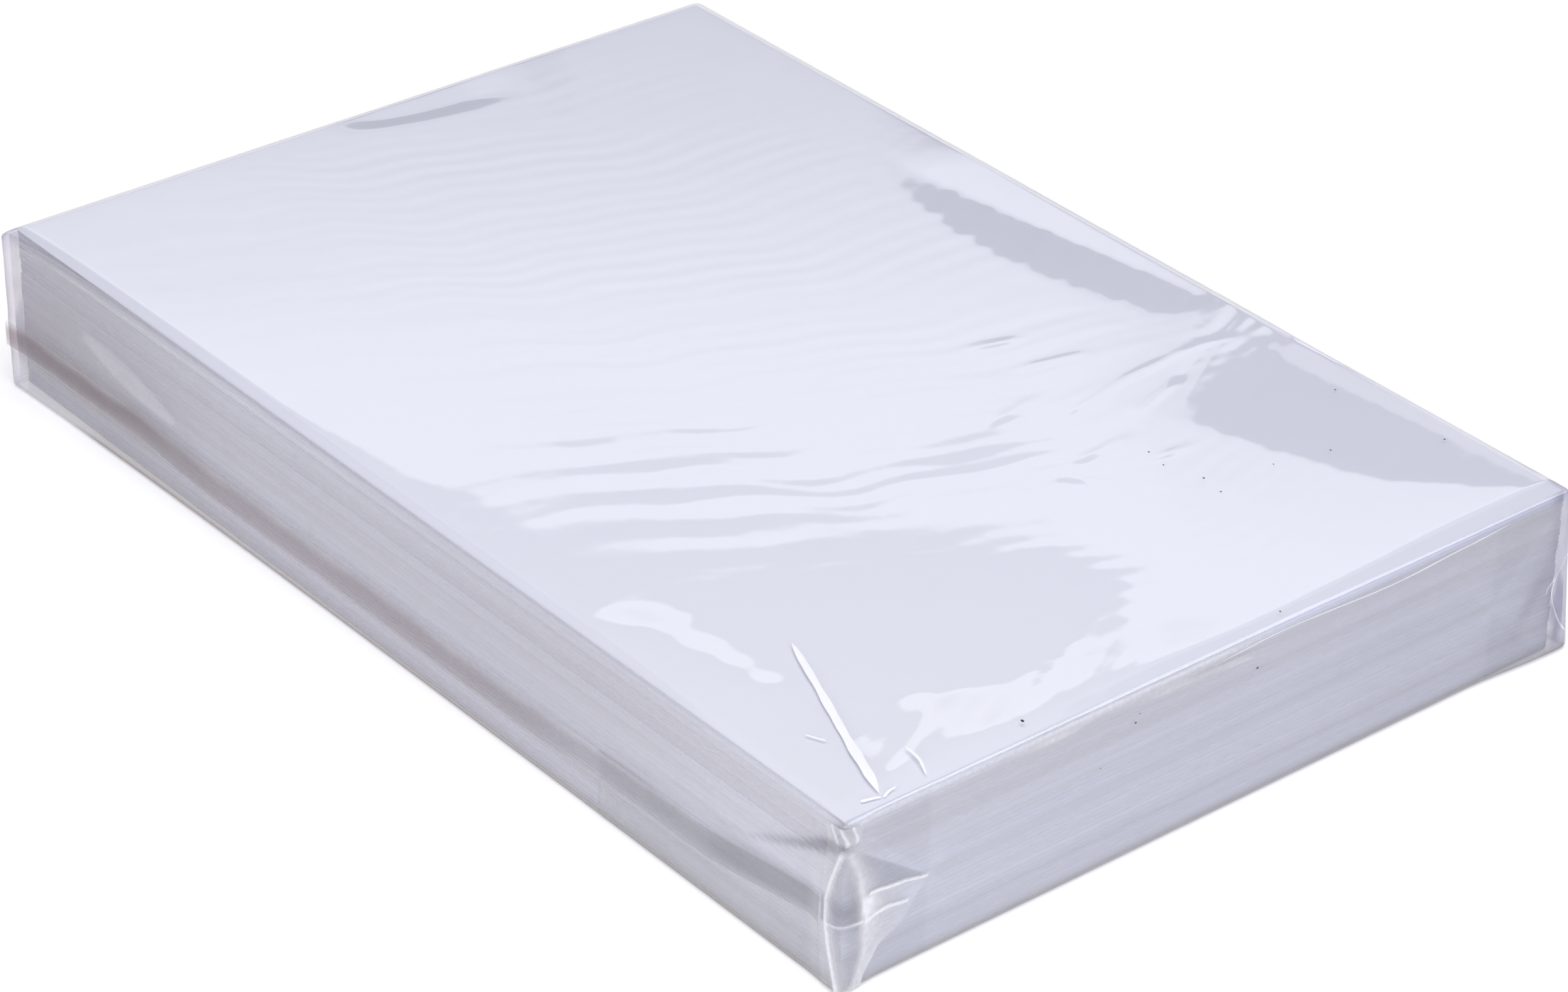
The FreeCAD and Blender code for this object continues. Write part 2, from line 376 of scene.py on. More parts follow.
def skin_haze_and_highlights(x, y, z):
    """Haze of the outer skin, with painted highlights under the near end's upper edge."""
    on_front, on_back, on_near, on_far = on_walls(x, y)
    foot = 0.30 * on_front * smooth(-56, -68, x) + 0.2 * on_back + 0.2 * on_far
    haze = bell(z - 0.2, 0.4) * foot + 0.04 * on_front * bell(z - 1.6, 0.8)
    under_edge = bell(z - TOP + 1.0 + 0.15 * wander(x, 2.0, 13, 7), 0.22)
    haze = haze + 0.22 * on_front * under_edge * smooth(20, -20, x)
    # an oval patch on the front wall
    along, across, length = line_places(x, z, (-61.0, 13.4), (-42.0, 10.2))
    half = 1.5 * np.sqrt(np.clip(along / length * (1 - along / length) * 4, 0, 1))
    haze = haze + 0.24 * on_front * smooth(0.3, -0.3, np.abs(across) - half) * (half > 0)
    # painted highlights: a bright line under the near end's upper edge, with three short painted
    # glints below it
    line = bell(z - TOP + 0.62, 0.42) * smooth(10, -2, y) * (0.7 + 0.3 * smooth(-34, -22, y))
    haze = haze + 0.90 * on_near * line
    for place, height, reach in [(-8.0, 18.9, 5.5), (1.0, 18.4, 3.5), (-24.0, 19.2, 4.0)]:
        lean = height - 0.02 * (y - place)
        haze = haze + 0.75 * on_near * bell(y - place, reach) * bell(z - lean, 0.45)
    corner = smooth(3, 1, HALF_WIDTH - y) * (0.5 + 0.5 * wander(z, 1.0, 5, 3))
    return np.clip(haze + 0.05 * on_near * corner, 0, 1)


def distance_to(s, z, route):
    """Distance from places to a line through a few points."""
    nearest = np.full(s.shape, 1e3)
    for start, end in zip(route[:-1], route[1:]):
        along, across, length = line_places(s, z, start, end)
        beyond = np.maximum(np.maximum(-along, along - length), 0)
        nearest = np.minimum(nearest, np.hypot(across, beyond))
    return nearest


# The near corner's bunched film, as (distance round the corner, height): its two whitened bands,
# the tuck's sharp lines, and how far the tuck reaches along the end wall.
LEFT_BAND = [(-0.3, 0.4), (-1.0, 4.3), (-1.6, 8.5), (-1.6, 11.3), (-1.1, 13.8), (-0.1, 17.4)]
RIGHT_BAND = [(1.3, 0.6), (2.3, 4.2), (2.4, 8.4), (2.2, 11.3), (1.6, 14.8), (0.5, 17.4)]
TUCK_LINES = [[(2.9, 8.1), (6.0, 8.3), (8.4, 7.9)],
              [(3.4, 11.2), (5.7, 10.7), (8.0, 10.5), (11.0, 9.9)]]
TUCK_EDGE = [(2.6, 0.2), (2.8, 1.2), (4.9, 4.0), (7.6, 5.4), (9.6, 8.1), (11.3, 9.9), (9.9, 10.9),
             (5.0, 14.4), (2.2, 17.5), (1.9, TOP)]


def route_at(route, z):
    """Where a rising line through a few points is at a height."""
    return np.interp(z, [point[1] for point in route], [point[0] for point in route])


def paint_tuck(s, z):
    """Tint, haze and raised parts of the tuck at the near corner."""
    left, right = route_at(LEFT_BAND, z), route_at(RIGHT_BAND, z)
    below_pinch = smooth(17.6, 16.6, z)
    inside = smooth(left, left + 0.8, s) * smooth(right + 0.2, right - 0.7, s) * below_pinch
    grain = unevenness(s * 3, z, 2.0, 6.0)
    # the wedge between the pinch and the tuck's tip, darkened as painted shade, and the cloudy
    # triangle under it
    along, under, _ = line_places(s, z, (0.5, 17.6), (10.5, 10.3))
    wedge = smooth(0.25, -0.25, under) * smooth(-4.2, -0.6, under) * smooth(-1, 3, along)
    wedge = wedge * smooth(right - 0.2, right + 1.2, s) * smooth(9.6, 11.2, z)
    cloud = smooth(right + 7.0, right, s) * smooth(right - 0.3, right + 0.6, s)
    cloud = cloud * smooth(11.8, 10.4, z)
    across_lap = bell(z - 9.9, 1.8)
    tint = tinted(0.10 * inside + 0.45 * inside * across_lap, SMOKE_AND_SHADE ** 1.6)
    tint = tint * tinted(0.60 * wedge, SMOKE_AND_SHADE)
    front_lap = smooth(-1.6, -2.1, s) * smooth(8.0, 8.6, z) * smooth(11.9, 10.9, z)
    tint = tint * tinted(front_lap, np.array([0.85, 0.83, 0.845]))
    edge = s - left
    haze = 0.95 * bell(edge, np.where(edge < 0, 0.18, 0.34)) * (0.8 + 0.2 * grain)
    haze = haze + 0.30 * smooth(1.8, 0.0, edge) * smooth(-0.3, 0.2, edge) * smooth(12, 5, z)
    band = 0.45 * bell(s - right, 0.40) * (0.6 + 0.4 * grain) + 0.38 * bell(s - right - 0.3, 1.2)
    haze = haze + band * (0.45 + 0.55 * smooth(3, 9, z))
    # painted glare: a whitening beside the right band at the lap seam's height
    glow = 0.30 * bell(z - 9.9, 1.7) * smooth(right + 4.5, right + 0.5, s)
    haze = haze * below_pinch + cloud * (0.42 + glow + 0.16 * grain)
    lines = sum(bell(distance_to(s, z, route), 0.20) for route in TUCK_LINES)
    level_line = bell(z - 8.4, 0.16) * smooth(left, left + 0.3, s) * (s < right)
    haze = haze + 0.9 * lines + 0.5 * level_line
    # the cap above the pinch: painted highlights on its pleats and painted shade between them
    cap = smooth(17.6, 18.4, z) * smooth(2.2, 1.4, np.abs(s - 0.1))
    pleats = bell(np.sin(2.6 * s + 0.8 * np.sin(1.3 * z)), 0.45)
    haze = haze + cap * (0.28 + 0.50 * pleats)
    tint = tint * tinted(cap * (1 - pleats) * 0.6, SMOKE_AND_SHADE)
    raised = 0.10 * bell(s - left, 0.5) + 0.10 * bell(s - right, 0.7) + 0.08 * lines
    raised = raised + 0.06 * cap * pleats + 0.03 * (1 + grain)
    return tint, np.clip(haze, 0, 1), raised


def paint_lap(x, up):
    """Tint and haze of the lap seam: a double layer, darkened further with painted shade, most at
    the far left, that fades out towards its soft upper edge.

    Up runs from 0 at the lower edge to 1 at the upper one.
    """
    depth = 0.72 + 0.28 * np.clip(smooth(-20, -60, x) + smooth(52, 60, x), 0, 1)
    depth = depth - 0.24 * bell(x - 38, 11) + 0.16 * smooth(37.3, 37.7, x) * smooth(56, 44, x)
    depth = depth * (1.06 + 0.36 * smooth(-30, -58, x))
    firm = 0.58 + 0.27 * smooth(38, 60, x)
    waving = up + 0.10 * wander(x, 3.0, 23, 11, 41) * smooth(60, 30, x)
    soft = (0.15 + 0.85 * smooth(1.02, firm, waving)) * (0.6 + 0.4 * smooth(0.0, 0.35, up))
    warm, plain = np.array([0.845, 0.815, 0.82]), np.array([0.85, 0.85, 0.855])
    colour = warm + (plain - warm) * smooth(5, 60, x)[..., None]
    dark_line = 0.7 * bell(up - 0.96, 0.04) * smooth(37.4, 37.8, x) * smooth(49, 44, x)
    edges = bell(up, 0.04) + 0.6 * bell(up - 1, 0.04) * smooth(44, 52, x)
    return tinted(depth * soft, colour) * tinted(dark_line, warm), 0.10 * edges


def paint_folds(side, y, z):
    """Tint, haze and raised parts of an end wall's stacked folds."""
    from_corner = np.minimum(y + HALF_WIDTH, HALF_WIDTH - y)
    tuck = smooth(11.3, 10.9, from_corner)
    lower = smooth(12.6, 12.2, z) * smooth(1.5, 1.9, from_corner - z)
    upper = smooth(TOP - 12.8, TOP - 12.4, z) * smooth(0.4, 0.8, from_corner - (TOP - z))
    layers = tuck + lower + upper
    right = HALF_WIDTH - y if side > 0 else y + HALF_WIDTH
    crumple = smooth(11, 2, right) * smooth(2.5, 7, z) * smooth(18.5, 12, z)
    folds = unevenness(right + 0.4 * z, 0.6 * z, 5.0, 5.5)
    # painted shade: a soft dark smudge and a dark diamond among the folds by one upright corner
    shade = bell(right - 4.2 + 0.5 * (z - 9.5), 1.3) * bell(z - 9.5, 3.4)
    diamond = smooth(0.4, -0.2, np.abs(right - 1.3) - 0.8 * (1 - np.abs(z - 6.3) / 4.4))
    tint = tinted(0.10 * layers, SMOKE_AND_SHADE) * tinted(0.42 * shade + 0.9 * diamond, VIOLET_SHADE)
    haze = 0.06 * crumple * (1 + folds) + 0.10 * smooth(22, 12, right) * smooth(14.5, 17, z)
    raised = 0.04 * layers + 0.05 * crumple * (1 + folds)
    return tint, np.clip(haze, 0, 1), raised


def paint(made, tint, haze):
    """Store tint and haze on an object's points."""
    layer = made.data.attributes.new("film", "FLOAT_COLOR", "POINT")
    values = np.concatenate([tint.reshape(-1, 3), np.asarray(haze).reshape(-1, 1)], axis=1)
    layer.data.foreach_set("color", values.astype(np.float32).ravel())


# ---- the skin
def graded(half, spans, edge_steps):
    """Grid lines from -half to half, closer together near both ends.

    Spans are (end, step) pairs for the stretch between the two graded ends.
    """
    edge = np.cumsum(edge_steps)
    middle = np.array([edge[-1] - half])
    for end, step in spans + [(half - edge[-1], spans[-1][1])]:
        count = int(round((end - middle[-1]) / step))
        middle = np.concatenate([middle, np.linspace(middle[-1], end, count + 1)[1:]])
    return np.concatenate([[-half], edge[:-1] - half, middle, (half - edge[:-1])[::-1], [half]])


def skin_rings(rim_points, normals):
    """The skin's rings below its top grid: round the edge, down the walls, under the foot."""
    profile = []
    for angle in np.linspace(0, np.pi / 2, 6)[1:]:
        profile.append((EDGE_RADIUS * np.sin(angle), TOP - EDGE_RADIUS * (1 - np.cos(angle))))
    for height in np.linspace(TOP - EDGE_RADIUS, EDGE_RADIUS, 40)[1:]:
        profile.append((EDGE_RADIUS, height))
    for angle in np.linspace(0, np.pi / 2, 5)[1:]:
        profile.append((EDGE_RADIUS * np.cos(angle), EDGE_RADIUS * (1 - np.sin(angle))))
    rings = []
    for out, height in profile:
        ring = rim_points.copy()
        ring[:, :2] += normals * out
        ring[:, 2] = height
        rings.append(ring)
    return rings


def grid_faces(index):
    """Quads over a grid of point numbers."""
    a, b = index[:-1, :-1].ravel(), index[1:, :-1].ravel()
    c, d = index[1:, 1:].ravel(), index[:-1, 1:].ravel()
    return np.stack([a, b, c, d], axis=1)


def grid_rim(index):
    """Point numbers round a grid's border."""
    return np.concatenate([index[:-1, 0], index[-1, :-1], index[:0:-1, -1], index[0, :0:-1]])


def rounded_grid(xs, ys, rounding):
    """A flat grid with rounded corners, and each point's way out from the rounding's centre."""
    grid = np.stack(np.meshgrid(xs, ys, indexing="ij"), axis=-1)
    centre = np.clip(grid, (xs[0] + rounding, ys[0] + rounding),
                     (xs[-1] - rounding, ys[-1] - rounding))
    u, v = np.moveaxis((grid - centre) / rounding, -1, 0)
    outward = np.stack([u * np.sqrt(1 - v ** 2 / 2), v * np.sqrt(1 - u ** 2 / 2)], axis=-1)
    return centre + rounding * outward, outward


def film_skin():
    """The film as one closed skin: a top grid, rings down the walls and a flat base."""
    edge_steps = [0.10, 0.13, 0.17, 0.20] + [0.25] * 8 + [0.32] * 6 + [0.40] * 4
    xs = graded(HALF_LENGTH - EDGE_RADIUS, [(8.0, 0.64), (47.0, 0.38), (60.0, 0.60)], edge_steps)
    ys = graded(HALF_WIDTH - EDGE_RADIUS, [(0.0, 0.80)], edge_steps)
    grid, outward = rounded_grid(xs, ys, CORNER_RADIUS - EDGE_RADIUS)
    index = np.arange(len(xs) * len(ys)).reshape(len(xs), len(ys))
    top = np.column_stack([grid.reshape(-1, 2), np.full(index.size, TOP)])
    rim = grid_rim(index)
    normals = outward.reshape(-1, 2)[rim]
    normals /= np.linalg.norm(normals, axis=1)[:, None]
    rings = skin_rings(top[rim], normals)
    faces = grid_faces(index).tolist()
    upper, start = rim, len(top)
    for ring in rings:
        lower = start + np.arange(len(ring))
        faces += np.stack([upper, lower, np.roll(lower, -1), np.roll(upper, -1)], axis=1).tolist()
        upper, start = lower, start + len(ring)
    faces.append(upper[::-1].tolist())
    plain = np.concatenate([top] + rings)
    made = make_object("film_skin", shape_film(plain), faces)
    paint(made, skin_tint_and_shade(*plain.T), skin_haze_and_highlights(*plain.T))
    return made


# ---- sheets and creases
def on_wall(wall, along, z, out):
    """A point on a wall's shaped film, that far outside it.

    Along is x on the front and the top (where z is y), y on the near and the far end, and on
    the corner the distance round it, negative on the front wall.
    """
    along, z = np.broadcast_arrays(np.asarray(along, float), np.asarray(z, float))
    one, zero = np.ones_like(along), np.zeros_like(along)
    if wall == "front":
        base, normal = (along, -HALF_WIDTH * one, z), (zero, -one, zero)
    elif wall == "near":
        base, normal = (HALF_LENGTH * one, along, z), (one, zero, zero)
    elif wall == "far":
        base, normal = (-HALF_LENGTH * one, along, z), (-one, zero, zero)
    elif wall == "top":
        base, normal = (along, z, TOP * one), (zero, zero, one)
    else:
        turn = np.clip(along / CORNER_RADIUS, -1, 1) * np.pi / 4 + np.pi / 4
        centre_x, centre_y = HALF_LENGTH - CORNER_RADIUS, -HALF_WIDTH + CORNER_RADIUS
        x = centre_x + CORNER_RADIUS * np.sin(turn) + np.minimum(along + CORNER_RADIUS, 0)
        y = centre_y - CORNER_RADIUS * np.cos(turn) + np.maximum(along - CORNER_RADIUS, 0)
        base, normal = (x, y, z), (np.sin(turn), -np.cos(turn), zero)
    base, normal = np.stack(base, axis=-1), np.stack(normal, axis=-1)
    shaped = shape_film(base.reshape(-1, 3)).reshape(base.shape)
    return shaped + normal * np.asarray(out)[..., None]


def places(first, last, count, rim=RIM_STEP):
    """Evenly spaced places, with a very narrow step at either end that holds a sheet's rim."""
    inner = np.linspace(first, last, count - 2)[1:-1]
    return np.concatenate([[first, first + rim], inner, [last - rim, last]])


def film_sheet(name, wall, along, z, raised):
    """A closed thin sheet on a wall, from grids of places."""
    outer = on_wall(wall, along, z, SEAT + FILM + raised).reshape(-1, 3)
    inner = on_wall(wall, along, z, SEAT).reshape(-1, 3)
    index = np.arange(along.size).reshape(along.shape)
    faces, rim = grid_faces(index), grid_rim(index)
    after, shift = np.roll(rim, -1), along.size
    sides = np.stack([after, rim, rim + shift, after + shift], axis=1)
    all_faces = np.concatenate([faces, faces[:, ::-1] + shift, sides])
    if wall == "far":
        all_faces = all_faces[:, ::-1]
    return make_object(name, np.concatenate([outer, inner]), all_faces.tolist())


def painted_sheet(name, wall, along, z, tint, haze, raised=0.0):
    """A film sheet with its tint and haze on both faces."""
    made = film_sheet(name, wall, along, z, raised)
    tint = tint.reshape(-1, 3)
    haze = np.broadcast_to(haze, along.shape).reshape(-1)
    paint(made, np.concatenate([tint, tint]), np.concatenate([haze, haze]))
    return made


def curve_through(points, count):
    """Evenly numbered places on a smooth curve through a few points."""
    points = np.asarray(points, float)
    padded = np.vstack([2 * points[0] - points[1], points, 2 * points[-1] - points[-2]])
    places = []
    for t in np.linspace(0, len(points) - 1, count):
        start = min(int(t), len(points) - 2)
        part = t - start
        p0, p1, p2, p3 = padded[start:start + 4]
        places.append(0.5 * (
            2 * p1 + (p2 - p0) * part + (2 * p0 - 5 * p1 + 4 * p2 - p3) * part ** 2
            + (3 * p1 - p0 - 3 * p2 + p3) * part ** 3
        ))
    return np.array(places)


def crease_parts(wall, route, first, last, count=28):
    """Points and faces of one raised crease: a narrow lens whose width goes from first to last."""
    path = curve_through(route, count)
    step = np.gradient(path, axis=0)
    step /= np.linalg.norm(step, axis=1)[:, None]
    across = np.stack([-step[:, 1], step[:, 0]], axis=1)
    share = np.linspace(0, 1, count)
    half = (first + (last - first) * share) / 2 * np.clip(np.sin(np.pi * share) * 3, 0, 1) ** 0.6
    half = np.maximum(half * (0.85 + 0.15 * wander(share, 7.0, 0.31, 0.17)), 0.004)[:, None]
    lens = [(path + across * half, 0.03), (path, 0.045), (path - across * half, 0.03), (path, 0.02)]
    rings = np.stack([on_wall(wall, *line.T, out) for line, out in lens], axis=1)
    faces = []
    for ring in range(count - 1):
        for corner in range(4):
            following = (corner + 1) % 4
            faces.append([4 * ring + corner, 4 * ring + following,
                          4 * ring + 4 + following, 4 * ring + 4 + corner])
    last_ring = 4 * (count - 1)
    faces += [[3, 2, 1, 0], [last_ring, last_ring + 1, last_ring + 2, last_ring + 3]]
    return rings.reshape(-1, 3), faces


def creases(name, specs):
    """Several creases as one object."""
    points, faces, start = [], [], 0
    for wall, route, first, last in specs:
        part_points, part_faces = crease_parts(wall, route, first, last)
        points.append(part_points)
        faces += [[start + corner for corner in face] for face in part_faces]
        start += len(part_points)
    made = make_object(name, np.concatenate(points), faces)
    made.data.polygons.foreach_set("use_smooth", np.zeros(len(made.data.polygons), dtype=bool))
    return made


def specks(name, places):
    """Specks of dust caught in the film: small flat domes."""
    points, faces, sides = [], [], 8
    for wall, along, z, radius in places:
        start = len(points)
        turns = np.arange(sides) * 2 * np.pi / sides
        ring_z = z + 0.8 * radius * np.sin(turns)
        ring = on_wall(wall, along + radius * np.cos(turns), ring_z, 0.02)
        middle = on_wall(wall, [along, along], [z, z], [0.10, 0.005])
        points += ring.tolist() + middle.tolist()
        for side in range(sides):
            after = (side + 1) % sides
            faces.append([start + side, start + after, start + sides])
            faces.append([start + after, start + side, start + sides + 1])
    return make_object(name, points, faces)


def make_object(name, points, faces):
    """A smooth-shaded mesh object from points in millimetres from the stack's middle."""
    mesh = bpy.data.meshes.new(name)
    mesh.from_pydata(((np.asarray(points) + MIDDLE) * MM).tolist(), [], faces)
    mesh.update()
    mesh.polygons.foreach_set("use_smooth", np.ones(len(mesh.polygons), dtype=bool))
    made = bpy.data.objects.new(name, mesh)
    bpy.context.scene.collection.objects.link(made)
    return made


# ---- materials
def new_material(name):
    """An empty node material and its tree."""
    material = bpy.data.materials.new(name)
    material.use_nodes = True
    material.node_tree.nodes.clear()
    return material, material.node_tree


def add(tree, kind, inputs=None, **settings):
    """One node, with its settings, its values and its links by input name or number."""
    node = tree.nodes.new(kind)
    for key, value in settings.items():
        setattr(node, key, value)
    for key, value in (inputs or {}).items():
        if isinstance(value, bpy.types.NodeSocket):
            tree.links.new(value, node.inputs[key])
        else:
            node.inputs[key].default_value = value
    return node


def sum_node(tree, operation, first, second=0.0, third=0.0):
    """The result of one sum."""
    values = {0: first, 1: second, 2: third}
    return add(tree, "ShaderNodeMath", values, operation=operation).outputs[0]


def steps(tree, value, stops):
    """A level that runs through (value, level) stops, each from 0 to 1."""
    node = add(tree, "ShaderNodeValToRGB", {0: value})
    elements = node.color_ramp.elements
    while len(elements) < len(stops):
        elements.new(0.5)
    for element, (position, level) in zip(elements, stops):
        element.position = position
        element.color = (level, level, level, 1)
    return node.outputs[0]


def blend_colour(tree, share, first, second):
    """One colour going over to another."""
    node = add(tree, "ShaderNodeMix", {0: share, 6: first, 7: second}, data_type="RGBA")
    return node.outputs[2]


def sheen_share(tree, layers, normal):
    """The share of light that clear film reflects: a little head-on and more at a slant."""
    weight = add(tree, "ShaderNodeLayerWeight", {"Blend": 0.5, "Normal": normal})
    slant = sum_node(tree, "POWER", weight.outputs["Facing"], 4.6)
    one = sum_node(tree, "MULTIPLY_ADD", slant, 0.955, 0.045)
    if layers == 1:
        return one
    return sum_node(tree, "MULTIPLY", one, sum_node(tree, "SUBTRACT", 2.0, one))


def film_material(name, layers):
    """Clear film: what lies behind it, whitened where crumpled, under a clean reflection.

    Layers is the number of faces that reflect: two for the skin, one for what lies on it.
    """
    material, tree = new_material(name)
    place = add(tree, "ShaderNodeTexCoord").outputs["Object"]
    fine = add(tree, "ShaderNodeTexNoise", {"Vector": place, "Scale": 180.0, "Detail": 2.0})
    bump = add(tree, "ShaderNodeBump", {"Strength": 0.04, "Distance": 0.0002,
                                        "Height": fine.outputs["Fac"]})
    normal = bump.outputs["Normal"]
    painted = add(tree, "ShaderNodeAttribute", attribute_name="film")
    clear = add(tree, "ShaderNodeBsdfTransparent", {"Color": painted.outputs["Color"]})
    crumple = add(tree, "ShaderNodeTexNoise", {"Vector": place, "Scale": 1400.0, "Detail": 2.0})
    uneven = sum_node(tree, "MULTIPLY_ADD", crumple.outputs["Fac"], 0.5, 0.75)
    haze = sum_node(tree, "MULTIPLY", painted.outputs["Alpha"], uneven)
    cloud = add(tree, "ShaderNodeBsdfAnisotropic", {"Color": (0.97, 0.97, 1.0, 1),
                                                    "Roughness": 0.55, "Normal": normal})
    body = add(tree, "ShaderNodeMixShader", {0: haze, 1: clear.outputs[0], 2: cloud.outputs[0]})
    gloss = add(tree, "ShaderNodeBsdfAnisotropic", {"Color": (1, 1, 1, 1), "Roughness": 0.02,
                                                    "Normal": normal})
    mix = add(tree, "ShaderNodeMixShader", {0: sheen_share(tree, layers, normal),
                                            1: body.outputs[0], 2: gloss.outputs[0]})
    add(tree, "ShaderNodeOutputMaterial", {"Surface": mix.outputs[0]})
    return material


def paper_material():
    """Resin-coated white paper: plain on top, with the sheets' fine lines on the cut sides."""
    material, tree = new_material("photo_paper")
    place = add(tree, "ShaderNodeTexCoord").outputs["Object"]
    bands = add(tree, "ShaderNodeMapping", {"Vector": place, "Scale": (3.0, 3.0, 420.0)})
    broad = add(tree, "ShaderNodeTexNoise", {"Vector": bands.outputs[0], "Scale": 1.0,
                                             "Detail": 2.0, "Roughness": 0.5})
    lines = add(tree, "ShaderNodeMapping", {"Vector": place, "Scale": (9.0, 9.0, 2300.0)})
    fine = add(tree, "ShaderNodeTexNoise", {"Vector": lines.outputs[0], "Scale": 1.0,
                                            "Detail": 2.0, "Roughness": 0.6})
    both = sum_node(tree, "MULTIPLY_ADD", broad.outputs["Fac"], 0.93,
                    sum_node(tree, "MULTIPLY", fine.outputs["Fac"], 0.07))
    shade = steps(tree, both, [(0.36, 0.0), (0.62, 1.0)])
    edge = blend_colour(tree, shade, (0.62, 0.60, 0.675, 1), (0.75, 0.76, 0.87, 1))
    facing = add(tree, "ShaderNodeNewGeometry").outputs["Normal"]
    upward = add(tree, "ShaderNodeSeparateXYZ", {0: facing}).outputs[2]
    flat = sum_node(tree, "GREATER_THAN", upward, 0.9)
    colour = blend_colour(tree, flat, edge, (0.85, 0.86, 0.975, 1))
    shader = add(tree, "ShaderNodeBsdfPrincipled", {"Base Color": colour, "Roughness": 0.4})
    add(tree, "ShaderNodeOutputMaterial", {"Surface": shader.outputs[0]})
    return material


def crease_and_highlight_material():
    """Film whitened by a sharp fold; its white also serves one painted highlight line."""
    material, tree = new_material("film_crease_and_highlight")
    place = add(tree, "ShaderNodeTexCoord").outputs["Object"]
    noise = add(tree, "ShaderNodeTexNoise", {"Vector": place, "Scale": 700.0, "Detail": 2.0})
    colour = blend_colour(tree, noise.outputs["Fac"], (0.93, 0.93, 0.97, 1), (1.0, 1.0, 1.0, 1))
    white = add(tree, "ShaderNodeBsdfDiffuse", {"Color": colour})
    add(tree, "ShaderNodeOutputMaterial", {"Surface": white.outputs[0]})
    return material


def dust_material():
    """Dark specks of dust."""
    material, tree = new_material("dust")
    place = add(tree, "ShaderNodeTexCoord").outputs["Object"]
    noise = add(tree, "ShaderNodeTexNoise", {"Vector": place, "Scale": 2500.0})
    colour = blend_colour(tree, noise.outputs["Fac"], (0.02, 0.02, 0.03, 1), (0.09, 0.08, 0.09, 1))
    shader = add(tree, "ShaderNodeBsdfPrincipled", {"Base Color": colour, "Roughness": 0.7})
    add(tree, "ShaderNodeOutputMaterial", {"Surface": shader.outputs[0]})
    return material


# ---- the pieces of film
def place_film(piece, material):
    """A film piece rides with the pack and stands for the CAD's wrapping."""
    piece.data.materials.append(material)
    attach(piece, "root")
    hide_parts("film_wrap")


def lap_seam():
    """The strip of the front wall where one edge of the film lies over the other."""
    x, share = np.meshgrid(places(0.1 - HALF_LENGTH, HALF_LENGTH - BESIDE_TUCK, 260),
                           places(0, 1, 18, RIM_STEP / 3.8), indexing="ij")
    z = lap_low(x) + share * (lap_high(x) - lap_low(x))
    tint, haze = paint_lap(x, share)
    return painted_sheet("lap_seam", "front", x, z, tint, haze)


def spare_layer():
    """The spare layer at the near end of the front wall, from its foot up to the lap seam."""
    start = HALF_LENGTH - SPARE_LENGTH
    x, share = np.meshgrid(places(start, HALF_LENGTH - BESIDE_TUCK, 92),
                           places(0, 1, 17, RIM_STEP / 5.0), indexing="ij")
    low = 0.6
    z = low + share * (lap_low(x) - 0.05 - low)
    left_edge = bell(x - start - 0.1, 0.3)
    tint = tinted(0.11 + 0.3 * left_edge + 0.06 * smooth(65.2, 65.6, x), SMOKE_AND_SHADE)
    return painted_sheet("spare_layer_low", "front", x, z, tint, 0.02 * left_edge)


def corner_tuck():
    """The bunched film round the near corner and the crumpled triangle tucked in beside it."""
    share, z = np.meshgrid(places(0, 1, 98, RIM_STEP / 8.0), places(0.25, TOP - 0.5, 122),
                           indexing="ij")
    start = -2.3
    s = start + share * (route_at(TUCK_EDGE, z) - start)
    tint, haze, raised = paint_tuck(s, z)
    rim = np.minimum(smooth(0, 0.06, share), smooth(1, 0.96, share))
    return painted_sheet("corner_tuck", "corner", s, z, tint, haze, raised * rim)


def end_folds(name, side):
    """An end wall's folded layers as one closed sheet, stepped where one covers another."""
    share, z = np.meshgrid(places(0, 1, 182, RIM_STEP / 100), places(0.6, TOP - 0.7, 58),
                           indexing="ij")
    margin = 0.9
    before = route_at(TUCK_EDGE, z) + 0.3 if side > 0 else margin
    y = before - HALF_WIDTH + share * (2 * HALF_WIDTH - margin - before)
    tint, haze, raised = paint_folds(side, y, z)
    return painted_sheet(name, "near" if side > 0 else "far", y, z, tint, haze, raised)


# ---- the studio
def look_from(target, azimuth, elevation, distance, roll, lens):
    a, e = math.radians(azimuth), math.radians(elevation)
    back = Vector((math.sin(a) * math.cos(e), -math.cos(a) * math.cos(e), math.sin(e)))
    data = bpy.data.cameras.new("camera")
    camera = bpy.data.objects.new("camera", data)
    bpy.context.scene.collection.objects.link(camera)
    camera.location = (Vector(target) + Vector(MIDDLE) + distance * back) * MM
    camera.rotation_mode = "QUATERNION"
    level = (-back).to_track_quat("-Z", "Y")
    camera.rotation_quaternion = level @ Matrix.Rotation(math.radians(roll), 3, "Z").to_quaternion()
    data.sensor_width = 36.0
    data.lens = lens
    data.clip_start = 0.01
    data.clip_end = 20.0
    bpy.context.scene.camera = camera


def table():
    """A white table, a little lighter to the camera than its own light makes it."""
    reach, low = 3000, -0.1
    corners = [(x * reach, y * reach, low) for x, y in ((-1, -1), (1, -1), (1, 1), (-1, 1))]
    floor = make_object("table", corners, [[0, 1, 2, 3]])
    material, tree = new_material("table_white")
    path = add(tree, "ShaderNodeLightPath")
    shader = add(tree, "ShaderNodeBsdfDiffuse", {"Color": (0.9, 0.9, 0.91, 1)})
    glow = add(tree, "ShaderNodeEmission", {"Color": (1, 1, 1, 1),
               "Strength": sum_node(tree, "MULTIPLY", path.outputs["Is Camera Ray"], 0.25)})
    both = add(tree, "ShaderNodeAddShader", {0: shader.outputs[0], 1: glow.outputs[0]})
    add(tree, "ShaderNodeOutputMaterial", {"Surface": both.outputs[0]})
    floor.data.materials.append(material)


